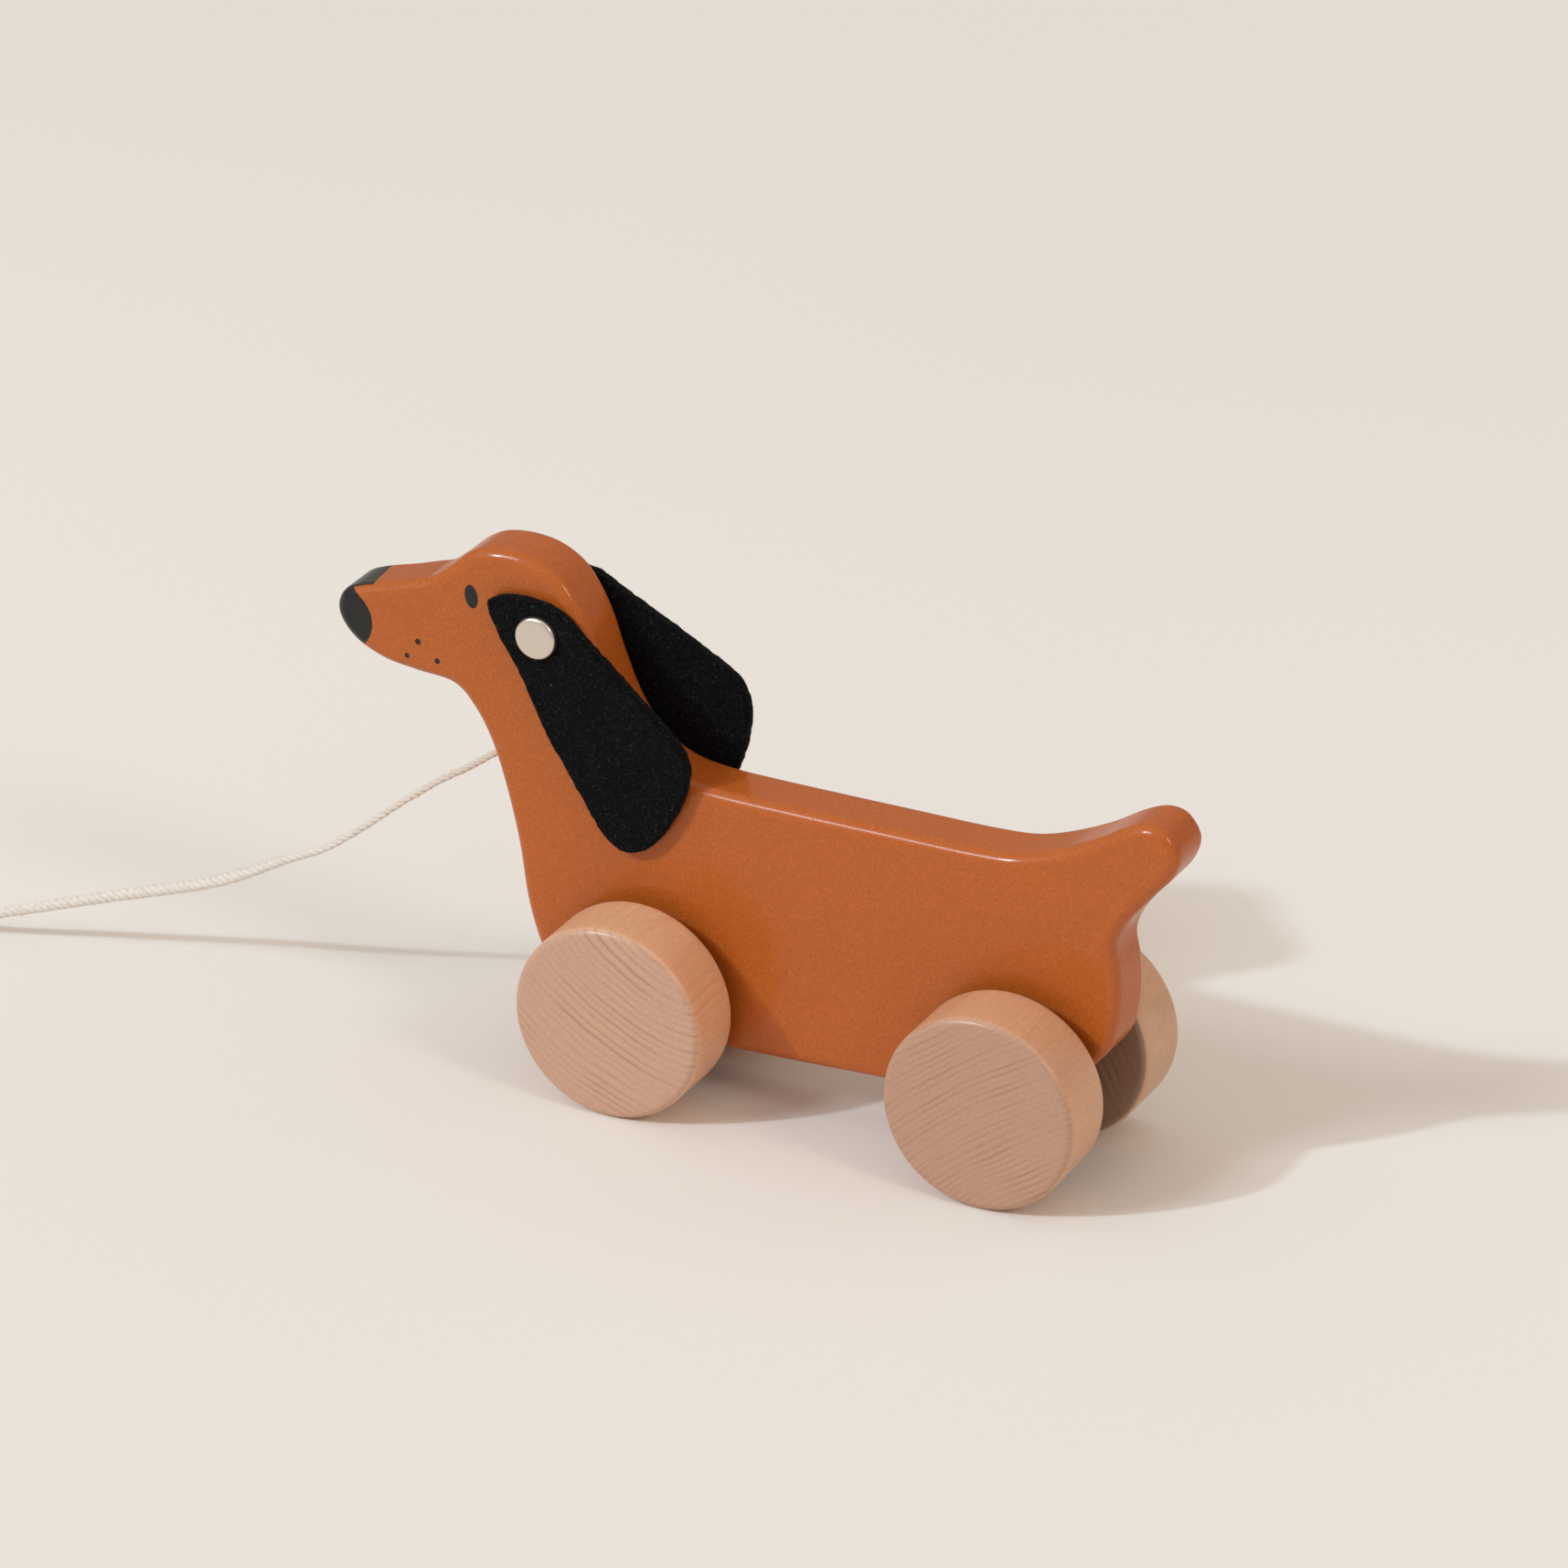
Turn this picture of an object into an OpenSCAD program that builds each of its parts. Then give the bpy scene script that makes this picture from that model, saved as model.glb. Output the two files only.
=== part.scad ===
// Pull-along dachshund: a painted wooden plank body with felt ears, on four wooden wheels
// that turn in pairs on two wooden axles, with a twisted cotton pull cord.
// Millimetres, +Z up, nose towards -X. The origin is on the floor under the middle of the toy.

/* [Body] */
// Thickness of the body plank
body_t = 16.4; // [16:0.2:17]
// Radius of the rounding along the plank's edges
body_edge_r = 3; // [2:0.1:4]

/* [Wheels] */
// Diameter of a wheel
wheel_d = 50; // [48:0.5:52]
// Width of a wheel
wheel_w = 19; // [17:0.5:20]
// Radius of the rounding on a wheel's edges
wheel_edge_r = 1.9; // [1:0.1:3]
// Distance between the front and the rear axle
wheelbase = 99; // [97:0.5:101]
// Distance of the front axle behind the origin, negative towards the nose
front_axle_x = -26; // [-27:0.5:-25]
// Space between the plank and a wheel, which the spacer fills
hub_gap = 3.6; // [3:0.1:5]

/* [Axles] */
// Diameter of an axle
axle_d = 8; // [6:0.5:9]
// Radial running play of an axle in the plank
axle_play = 0.06; // [0.04:0.01:0.1]
// Thickness of the glue between an axle and what is fixed to it
glue_t = 0.05; // [0.03:0.01:0.1]
// How far an axle reaches into a wheel
hub_depth = 13; // [10:0.5:14]
// Outer diameter of a spacer
spacer_d = 15; // [12:0.5:18]
// Sideways play between a spacer and the plank
side_play = 0.3; // [0.3:0.05:0.6]

/* [Ears] */
// Thickness of the felt
felt_t = 3; // [2.5:0.1:3.5]
// Angle of the left ear back from hanging straight down
left_ear_swing = 27; // [0:1:60]
// Angle of the right ear back from hanging straight down
right_ear_swing = 41; // [0:1:60]
// Gap between the felt and the plank or the rivet's flange
felt_gap = 0.3; // [0.2:0.05:0.5]

/* [Ear rivet] */
// Diameter of a rivet cap
cap_d = 10.8; // [9:0.2:12]
// Height of a rivet cap over the felt
cap_h = 2.1; // [1.8:0.1:2.5]
// Outer diameter of the rivet's tube
socket_d = 4; // [3:0.2:5]
// Diameter of the post inside the tube
post_d = 2.5; // [1.5:0.1:3]
// Radial play of the felt on the rivet
rivet_play = 0.06; // [0.04:0.01:0.1]

/* [Pull cord] */
// Diameter of the twisted cotton cord
cord_d = 2.8; // [2.6:0.1:3]
// Depth of the cord's hole in the chest
cord_hole_depth = 14; // [10:1:16]
// Radius of the coil at the middle of its turns
coil_r = 14.2; // [14:0.1:15]
// Diameter of the knot at the cord's end
knot_d = 7.2; // [6:0.2:8]
// Thickness of the tie round the coil
tie_t = 0.6; // [0.4:0.1:0.8]

/* [Hidden] */
$fn = 96;
LEFT = -1;
RIGHT = 1;

body_half = body_t / 2;
wheel_r = wheel_d / 2;
wheel_inner_y = body_half + hub_gap;
axle_half = wheel_inner_y + hub_depth;
rear_axle_x = front_axle_x + wheelbase;

// Side view of the plank, clockwise from the nose: head, nape, back, tail, rump, belly, chest, chin
body_points = [
    [-112.5, 108], [-110.6, 112.2], [-105.5, 114.7], [-98, 116.9], [-91, 119.2], [-86.5, 120.8],
    [-82, 124.4], [-77, 128.9], [-72, 131.4], [-65, 132.2], [-58, 131.2], [-51.5, 127.7],
    [-47, 122.2], [-43.5, 115.5], [-40, 106], [-35.5, 96], [-29.5, 88], [-21.5, 83.4],
    [-12, 81.8], [0, 81.5], [20, 81.6], [40, 81.8], [58, 82], [70, 83], [80, 86.2], [90, 91],
    [98, 96], [104, 98.3], [109, 97.2], [112.4, 92], [110.8, 86], [106, 80], [99.5, 71.5],
    [96.8, 64.5], [98, 57], [98.3, 48], [96.5, 38], [91, 30.5], [84.5, 22.5], [77, 16.8],
    [66, 15.7], [50, 15.2], [33, 14.7], [10, 13.6], [-10, 12.9], [-30, 12.4], [-43, 13.6],
    [-51, 19], [-56, 28], [-60, 40], [-62.8, 56], [-66.4, 70], [-70.3, 81], [-75, 89],
    [-80.5, 93.8], [-90, 94.8], [-99, 96], [-106.5, 99.1], [-111, 103.5]];
spline_steps = 4;

// Side view of an ear from the rivet: along the ear, then across it towards the tail
ear_points = [
    [-11, -10], [-12, -7.5], [-11.5, -4], [-9.5, 1], [-6.5, 5.5], [-1.5, 9.5], [5.5, 12], [16, 16.5],
    [27, 21], [35, 24], [40, 24.5], [45, 22.5], [50, 18], [55, 11], [58, 4], [57.5, -1.5],
    [54.5, -5], [47.5, -7], [36, -8], [23, -9.5], [8.5, -9.5], [-3.5, -10.5]];
// The right ear's rivet hole is punched lower in the felt, so the felt sits higher
right_ear_shift = [-1.8, 1.5];

// Rivet: its axis, the felt's faces and the flange under the cap
rivet_x = -55;
rivet_z = 113.8;
felt_in_y = body_half + felt_gap;
cap_seat_y = felt_in_y + felt_t + 0.1;
flange_t = 0.8;
flange_d = 9.4;
cap_wall = 0.5;
pin_play = 0.05;
post_reach = 17;

// Cord: the hole's mouth in the chest and its direction, then the route that lies free
cord_r = cord_d / 2;
cord_hole_d = 3.6;
cord_exit = [-68.7, 0, 76.7];
cord_slope = 28;
cord_dir = [-cos(cord_slope), 0, -sin(cord_slope)];
cord_free = [
    [-73, -0.5, 74], [-79.5, -1, 69.2], [-86.5, -2.5, 64.7], [-93, -4, 59.8], [-98.5, -5.5, 55.4],
    [-104, -7, 50.7], [-109, -8, 46.8], [-116, -8.5, 41.7], [-127.5, -9.5, 36], [-141.5, -9.5, 28.3],
    [-150.5, -9.5, 24.3], [-159.5, -10, 21.1], [-175, -12.5, 16.4], [-190.5, -15, 11.4],
    [-205, -18, 7], [-214.5, -19.5, 4.4], [-224.5, -21, 2.6], [-234, -24, 2.1]];
cord_sides = 8;
cord_steps = 2;

// Coil: two layers, each of two turns, standing on the tie
coil_centre = [-226.8, -39.4];
coil_z = 0.7;
layer_rise = 2.6;
coil_h = cord_d + layer_rise;
coil_in_r = coil_r - cord_d - cord_r;
coil_out_r = coil_r + cord_d + cord_r;
tie_w = 3;
tie_angle = 300;

// Free end: it drops off the top layer and ends in the knot
end_free = [[-240.7, -49.2, 4.7], [-238.6, -52.6, 4.3], [-236, -56, 3], [-233.2, -59.2, 2],
            [-230.4, -62.2, 1.8]];
knot_pos = [-227.8, -64.9, 3.65];

// ---- Curves ----

// Catmull-Rom point between b and c
function curve_point(a, b, c, d, t) =
    0.5 * (2 * b + (c - a) * t + (2 * a - 5 * b + 4 * c - d) * t * t + (3 * b - a - 3 * c + d) * t * t * t);

// Closed smooth curve through points
function closed_curve(points, steps) =
    let (n = len(points))
    [for (i = [0:n - 1], s = [0:steps - 1])
        curve_point(points[(i + n - 1) % n], points[i], points[(i + 1) % n], points[(i + 2) % n], s / steps)];

// Open smooth curve through points
function open_curve(points, steps) =
    let (n = len(points))
    concat([for (i = [0:n - 2], s = [0:steps - 1])
        curve_point(points[max(i - 1, 0)], points[i], points[i + 1], points[min(i + 2, n - 1)], s / steps)],
        [points[n - 1]]);

function unit(v) = v / norm(v);

// A clockwise closed curve, moved inwards by depth
function inset(curve, depth) =
    let (n = len(curve))
    [for (i = [0:n - 1])
        let (along = unit(curve[(i + 1) % n] - curve[(i + n - 1) % n]))
        curve[i] + depth * [along[1], -along[0]]];

// How far a rounded edge of radius r lies inside the outline at a depth below the face
function edge_inset(r, depth) = r - sqrt(r * r - (r - depth) * (r - depth));

// Arc points around a centre
function arc(centre, r, from, to, steps = 6) =
    [for (s = [0:steps]) let (a = from + (to - from) * s / steps) centre + r * [cos(a), sin(a)]];

// ---- Shared shapes ----

// Turns a shape that stands along +Z so that it lies along +Y on the right, or -Y on the left
module lay_on_side(side) {
    rotate([side == RIGHT ? -90 : 90, 0, 0]) children();
}

// A cylinder through the plank across its full width
module cross_bore(x, z, d, length) {
    translate([x, 0, z]) rotate([90, 0, 0]) cylinder(d = d, h = length, center = true);
}

// A tube with flat ends, swept along the points of a route
module swept_tube(route, r, sides) {
    n = len(route);
    rings = [for (i = [0:n - 1])
        let (along = unit(route[min(i + 1, n - 1)] - route[max(i - 1, 0)]),
             across = unit(cross(along, [0, 0, 1])),
             upward = cross(across, along))
        for (k = [0:sides - 1])
            let (a = 360 * (k + 0.5) / sides)
            route[i] + r * (cos(a) * across + sin(a) * upward)];
    walls = [for (i = [0:n - 2], k = [0:sides - 1])
        let (a = i * sides + k, b = i * sides + (k + 1) % sides)
        each [[a, b, b + sides], [a, b + sides, a + sides]]];
    first = [for (k = [sides - 1:-1:0]) k];
    last = [for (k = [0:sides - 1]) (n - 1) * sides + k];
    polyhedron(points = rings, faces = concat([first], walls, [last]));
}

// ---- Body ----

module body() {
    outline = closed_curve(body_points, spline_steps);
    edge_depths = [0, 0.2 * body_edge_r, 0.5 * body_edge_r];
    color([0.71, 0.39, 0.21])
    difference() {
        // Three nested slabs step the rounded edge
        for (k = [0:2]) {
            depth = k == 2 ? body_edge_r : (edge_depths[k] + edge_depths[k + 1]) / 2;
            rotate([90, 0, 0])
            linear_extrude(body_t - 2 * edge_depths[k], center = true)
                polygon(inset(outline, edge_inset(body_edge_r, depth)));
        }
        for (x = [front_axle_x, rear_axle_x])
            cross_bore(x, wheel_r, axle_d + 2 * axle_play, body_t + 2);
        cross_bore(rivet_x, rivet_z, socket_d + 2 * rivet_play, body_t + 2);
        cord_hole();
    }
}

// Blind hole in the chest, into which the cord's end is glued
module cord_hole() {
    translate(cord_exit - cord_hole_depth * cord_dir)
    rotate([0, -90 - cord_slope, 0])
        cylinder(d = cord_hole_d, h = cord_hole_depth + 8);
}

// ---- Axles and wheels ----

module axle(x) {
    color([0.78, 0.62, 0.46])
    cross_bore(x, wheel_r, axle_d, 2 * axle_half);
}

// A turned wheel with a blind hub hole on its inner face
module wheel(x, side) {
    e = wheel_edge_r;
    profile = concat([[0, 0]], arc([wheel_r - e, e], e, -90, 0), arc([wheel_r - e, wheel_w - e], e, 0, 90),
                     [[0, wheel_w]]);
    color([0.78, 0.62, 0.5])
    translate([x, side * wheel_inner_y, wheel_r])
    lay_on_side(side)
    difference() {
        rotate_extrude() polygon(profile);
        translate([0, 0, -1]) cylinder(d = axle_d + 2 * glue_t, h = hub_depth + 1);
    }
}

// A wooden ring on the axle, which keeps the wheel off the plank
module spacer(x, side) {
    color([0.8, 0.66, 0.5])
    translate([x, side * (body_half + side_play), wheel_r])
    lay_on_side(side)
    difference() {
        cylinder(d = spacer_d, h = hub_gap - side_play);
        translate([0, 0, -1]) cylinder(d = axle_d + 2 * glue_t, h = hub_gap + 2);
    }
}

// ---- Ears ----

// The felt hangs flat beside the plank. In its own frame the rivet is at the origin, X runs
// across the ear, -Y along it and Z away from the plank.
module ear(side, swing, shift) {
    outline = [for (p = closed_curve(ear_points, 3)) [p[1] + shift[1], -p[0] - shift[0]]];
    color([0.08, 0.08, 0.08])
    translate([rivet_x, 0, rivet_z])
    rotate([0, -swing, 0])
    mirror([0, side == RIGHT ? 1 : 0, 0])
    translate([0, -felt_in_y, 0])
    rotate([90, 0, 0])
    difference() {
        linear_extrude(felt_t) polygon(outline);
        translate([0, 0, -1]) cylinder(d = socket_d + 2 * rivet_play, h = felt_t + 2);
    }
}

// ---- Rivet: a post and a tube, each with a pressed cap over its flange ----

// Pressed shell with a slightly domed top
module ear_cap(side) {
    r = cap_d / 2;
    round_r = 1.1;
    w = cap_wall;
    profile = concat([[r - w, 0], [r, 0]], arc([r - round_r, cap_h - 0.3 - round_r], round_r, 0, 75),
                     [[0, cap_h], [0, cap_h - w]],
                     arc([r - round_r, cap_h - 0.3 - round_r], round_r - w, 75, 0));
    color([0.8, 0.78, 0.74])
    translate([rivet_x, side * cap_seat_y, rivet_z])
    lay_on_side(side)
        rotate_extrude() polygon(profile);
}

module rivet_post() {
    color([0.7, 0.7, 0.68])
    translate([rivet_x, LEFT * cap_seat_y, rivet_z])
    rotate([-90, 0, 0]) {
        translate([0, 0, -flange_t]) cylinder(d = flange_d, h = flange_t);
        translate([0, 0, -flange_t / 2]) cylinder(d = post_d, h = post_reach + flange_t / 2);
    }
}

module rivet_socket() {
    color([0.7, 0.7, 0.68])
    translate([rivet_x, RIGHT * cap_seat_y, rivet_z])
    rotate([90, 0, 0])
    difference() {
        union() {
            translate([0, 0, -flange_t]) cylinder(d = flange_d, h = flange_t);
            translate([0, 0, -flange_t / 2]) cylinder(d = socket_d, h = 2 * cap_seat_y + flange_t / 2);
        }
        cylinder(d = post_d + 2 * pin_play, h = 2 * cap_seat_y + 1);
    }
}

// ---- Pull cord ----

module pull_cord() {
    hole_end = cord_exit - cord_hole_depth * cord_dir;
    inside = [hole_end, cord_exit - cord_hole_depth / 2 * cord_dir, cord_exit];
    color([0.93, 0.9, 0.86])
    swept_tube(concat(inside, open_curve(cord_free, cord_steps)), cord_r, cord_sides);
}

// Outer shape of the wound turns
module cord_coil() {
    color([0.93, 0.9, 0.86])
    translate([coil_centre[0], coil_centre[1], coil_z])
    rotate_extrude()
        translate([coil_in_r, 0]) square([coil_out_r - coil_in_r, coil_h]);
}

module cord_end() {
    color([0.93, 0.9, 0.86])
    swept_tube(open_curve(end_free, cord_steps), cord_r, cord_sides);
}

// A flat strip round all the turns at one place
module cord_tie() {
    play = 0.05;
    inner = [coil_out_r - coil_in_r + 2 * play, coil_h + 2 * play];
    color([0.85, 0.8, 0.72])
    translate([coil_centre[0], coil_centre[1], coil_z + coil_h / 2])
    rotate([0, 0, tie_angle])
    translate([coil_r, 0, 0])
    rotate([90, 0, 0])
    linear_extrude(tie_w, center = true)
    difference() {
        square(inner + [2 * tie_t, 2 * tie_t], center = true);
        square(inner, center = true);
    }
}

module end_knot() {
    color([0.93, 0.9, 0.86])
    translate(knot_pos) sphere(d = knot_d, $fn = 48);
}

body();
axle(front_axle_x);  // front_axle
axle(rear_axle_x);  // rear_axle
wheel(front_axle_x, LEFT);  // wheel_front_left
wheel(front_axle_x, RIGHT);  // wheel_front_right
wheel(rear_axle_x, LEFT);  // wheel_rear_left
wheel(rear_axle_x, RIGHT);  // wheel_rear_right
spacer(front_axle_x, LEFT);  // spacer_front_left
spacer(front_axle_x, RIGHT);  // spacer_front_right
spacer(rear_axle_x, LEFT);  // spacer_rear_left
spacer(rear_axle_x, RIGHT);  // spacer_rear_right
ear(LEFT, left_ear_swing, [0, 0]);  // ear_left
ear(RIGHT, right_ear_swing, right_ear_shift);  // ear_right
ear_cap(LEFT);  // ear_cap_left
ear_cap(RIGHT);  // ear_cap_right
rivet_post();
rivet_socket();
pull_cord();
cord_coil();
cord_end();
cord_tie();
end_knot();
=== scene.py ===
"""Pull-along dachshund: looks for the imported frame. Blender is in metres, the values below in mm."""
import math

import bpy
import numpy as np
from mathutils import Matrix, Vector, noise
from mathutils.geometry import delaunay_2d_cdt


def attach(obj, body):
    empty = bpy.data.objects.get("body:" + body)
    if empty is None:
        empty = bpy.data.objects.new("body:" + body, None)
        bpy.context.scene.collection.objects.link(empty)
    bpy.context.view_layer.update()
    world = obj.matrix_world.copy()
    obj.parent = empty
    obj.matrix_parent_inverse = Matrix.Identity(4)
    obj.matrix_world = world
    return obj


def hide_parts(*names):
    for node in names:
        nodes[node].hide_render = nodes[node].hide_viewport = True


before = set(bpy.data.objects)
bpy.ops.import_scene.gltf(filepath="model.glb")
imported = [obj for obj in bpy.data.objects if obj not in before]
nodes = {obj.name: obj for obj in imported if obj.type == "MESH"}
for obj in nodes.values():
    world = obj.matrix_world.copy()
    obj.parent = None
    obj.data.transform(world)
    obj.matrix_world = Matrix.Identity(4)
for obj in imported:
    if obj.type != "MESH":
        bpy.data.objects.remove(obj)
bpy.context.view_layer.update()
MM = 0.001
LEFT, RIGHT = -1, 1

# ---------------------------------------------------------------- sizes repeated from part.scad, in mm
BODY_T, BODY_EDGE_R = 16.4, 3.0
WHEEL_R, WHEEL_W, WHEEL_EDGE_R = 25.0, 19.0, 1.9
FRONT_X, REAR_X = -26.0, 73.0
WHEEL_IN_Y = 11.8
HUB_R, HUB_DEPTH = 4.05, 13.0
AXLE_BORE_R, RIVET_BORE_R = 4.06, 2.06
RIVET_X, RIVET_Z = -55.0, 113.8
FELT_IN_Y, FELT_T, CAP_SEAT_Y = 8.5, 3.0, 11.6
CAP_R, CAP_H, CAP_WALL = 5.4, 2.1, 0.5
LEFT_SWING, RIGHT_SWING, RIGHT_SHIFT = 27.0, 41.0, (-1.8, 1.5)
CORD_D, CORD_HOLE_R, CORD_HOLE_DEPTH, CORD_SLOPE = 2.8, 1.8, 14.0, 28.0
CORD_EXIT = (-68.7, 0.0, 76.7)
COIL_CENTRE, TIE_ANGLE = (-226.8, -39.4), 300.0
KNOT_POS = (-227.8, -64.9, 3.65)
COIL_OUT_R, COIL_IN_R, COIL_SPREAD = 17.0, 11.4, 5.6
COIL_LOW_Z, COIL_LIFT, COIL_START_ANGLE = 2.1, 2.6, 115

# The outlines and the cord's route are part.scad's.
BODY_POINTS = [
    (-112.5, 108), (-110.6, 112.2), (-105.5, 114.7), (-98, 116.9), (-91, 119.2), (-86.5, 120.8),
    (-82, 124.4), (-77, 128.9), (-72, 131.4), (-65, 132.2), (-58, 131.2), (-51.5, 127.7),
    (-47, 122.2), (-43.5, 115.5), (-40, 106), (-35.5, 96), (-29.5, 88), (-21.5, 83.4),
    (-12, 81.8), (0, 81.5), (20, 81.6), (40, 81.8), (58, 82), (70, 83), (80, 86.2), (90, 91),
    (98, 96), (104, 98.3), (109, 97.2), (112.4, 92), (110.8, 86), (106, 80), (99.5, 71.5),
    (96.8, 64.5), (98, 57), (98.3, 48), (96.5, 38), (91, 30.5), (84.5, 22.5), (77, 16.8),
    (66, 15.7), (50, 15.2), (33, 14.7), (10, 13.6), (-10, 12.9), (-30, 12.4), (-43, 13.6),
    (-51, 19), (-56, 28), (-60, 40), (-62.8, 56), (-66.4, 70), (-70.3, 81), (-75, 89),
    (-80.5, 93.8), (-90, 94.8), (-99, 96), (-106.5, 99.1), (-111, 103.5)]

EAR_POINTS = [
    (-11, -10), (-12, -7.5), (-11.5, -4), (-9.5, 1), (-6.5, 5.5), (-1.5, 9.5), (5.5, 12), (16, 16.5),
    (27, 21), (35, 24), (40, 24.5), (45, 22.5), (50, 18), (55, 11), (58, 4), (57.5, -1.5),
    (54.5, -5), (47.5, -7), (36, -8), (23, -9.5), (8.5, -9.5), (-3.5, -10.5)]

CORD_FREE = [
    (-73, -0.5, 74), (-79.5, -1, 69.2), (-86.5, -2.5, 64.7), (-93, -4, 59.8), (-98.5, -5.5, 55.4),
    (-104, -7, 50.7), (-109, -8, 46.8), (-116, -8.5, 41.7), (-127.5, -9.5, 36), (-141.5, -9.5, 28.3),
    (-150.5, -9.5, 24.3), (-159.5, -10, 21.1), (-175, -12.5, 16.4), (-190.5, -15, 11.4),
    (-205, -18, 7), (-214.5, -19.5, 4.4), (-224.5, -21, 2.6)]

CORD_END = [(-238.6, -52.6, 4.3), (-236, -56, 3), (-233.2, -59.2, 2), (-230.4, -62.2, 1.8)]


# ---------------------------------------------------------------- curves and meshes
def smooth_curve(points, steps, closed=False):
    """Catmull-Rom curve, the same one that part.scad draws."""
    p = np.asarray(points, float)
    n = len(p)
    t = np.arange(steps)[:, None] / steps
    out = []
    for i in range(n if closed else n - 1):
        k = [(i + j) % n if closed else min(max(i + j, 0), n - 1) for j in (-1, 0, 1, 2)]
        a, b, c, d = p[k]
        out.append(0.5 * (2 * b + (c - a) * t + (2 * a - 5 * b + 4 * c - d) * t ** 2
                          + (3 * b - a - 3 * c + d) * t ** 3))
    if not closed:
        out.append(p[-1:])
    return np.concatenate(out)


def resample(line, step):
    """The same line with points an even distance apart."""
    along = np.concatenate([[0], np.cumsum(np.linalg.norm(np.diff(line, axis=0), axis=1))])
    n = max(2, int(round(along[-1] / step)) + 1)
    at = np.linspace(0, along[-1], n)
    return np.stack([np.interp(at, along, line[:, k]) for k in range(line.shape[1])], axis=1), at


def unit(v):
    return v / np.maximum(np.linalg.norm(v, axis=-1, keepdims=True), 1e-12)


def add_piece(name, verts, faces, mats, body, normals=None, face_mats=None, uvs=None):
    """A piece from points in mm, riding on a body. Faces are turned to agree with the given normals."""
    verts = np.asarray(verts, float)
    faces = [list(f) for f in faces]
    if normals is not None:
        normals = unit(np.asarray(normals, float))
        for f in faces:
            p = verts[f]
            turn = np.cross(p[1] - p[0], p[2] - p[0])
            if len(f) == 4:
                turn = turn + np.cross(p[2] - p[0], p[3] - p[0])
            if turn @ normals[f].sum(axis=0) < 0:
                f.reverse()
    me = bpy.data.meshes.new(name)
    me.from_pydata((verts * MM).tolist(), [], faces)
    me.update()
    me.polygons.foreach_set("use_smooth", [True] * len(me.polygons))
    for m in mats:
        me.materials.append(m)
    if face_mats is not None:
        me.polygons.foreach_set("material_index", face_mats)
    if uvs is not None:
        layer = me.uv_layers.new(name="UVMap")
        layer.data.foreach_set("uv", np.asarray(uvs, float).ravel())
    if normals is not None:
        me.normals_split_custom_set_from_vertices(normals.tolist())
    ob = bpy.data.objects.new(name, me)
    bpy.context.scene.collection.objects.link(ob)
    if body:
        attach(ob, body)
    return ob


def inside(points, loop):
    """Which 2D points lie inside a closed loop."""
    x, y = points[:, 0][:, None], points[:, 1][:, None]
    a, b = loop, np.roll(loop, -1, axis=0)
    crosses = (a[:, 1] > y) != (b[:, 1] > y)
    rise = np.where(b[:, 1] == a[:, 1], 1e-9, b[:, 1] - a[:, 1])
    at = a[:, 0] + (y - a[:, 1]) * (b[:, 0] - a[:, 0]) / rise
    return (crosses & (x < at)).sum(axis=1) % 2 == 1


def fill(outer, holes=(), extra=None):
    """Triangles of a flat region between an outer loop and holes; the first points are the loops' own."""
    loops = [np.asarray(outer)] + [np.asarray(h) for h in holes]
    points = np.concatenate(loops + ([extra] if extra is not None and len(extra) else []))
    edges, start = [], 0
    for lp in loops:
        edges += [(start + i, start + (i + 1) % len(lp)) for i in range(len(lp))]
        start += len(lp)
    out = delaunay_2d_cdt([Vector(p) for p in points], edges, [], 0, 1e-7)
    new, tris, orig = np.array([tuple(v) for v in out[0]]), out[2], out[3]
    tris = np.array([t for t in tris if len(t) == 3])
    mid = new[tris].mean(axis=1)
    keep = inside(mid, loops[0])
    for h in loops[1:]:
        keep &= ~inside(mid, h)
    place = {}
    for i, o in enumerate(orig):
        for k in o:
            place[k] = i
    to_input = {}
    for k, i in place.items():
        to_input.setdefault(i, k)
    return points, [[to_input[i] for i in t] for t in tris[keep] if all(i in to_input for i in t)]


def circle(cx, cy, r, n=48):
    a = np.linspace(0, 2 * math.pi, n, endpoint=False)
    return np.stack([cx + r * np.cos(a), cy + r * np.sin(a)], axis=1)


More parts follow.
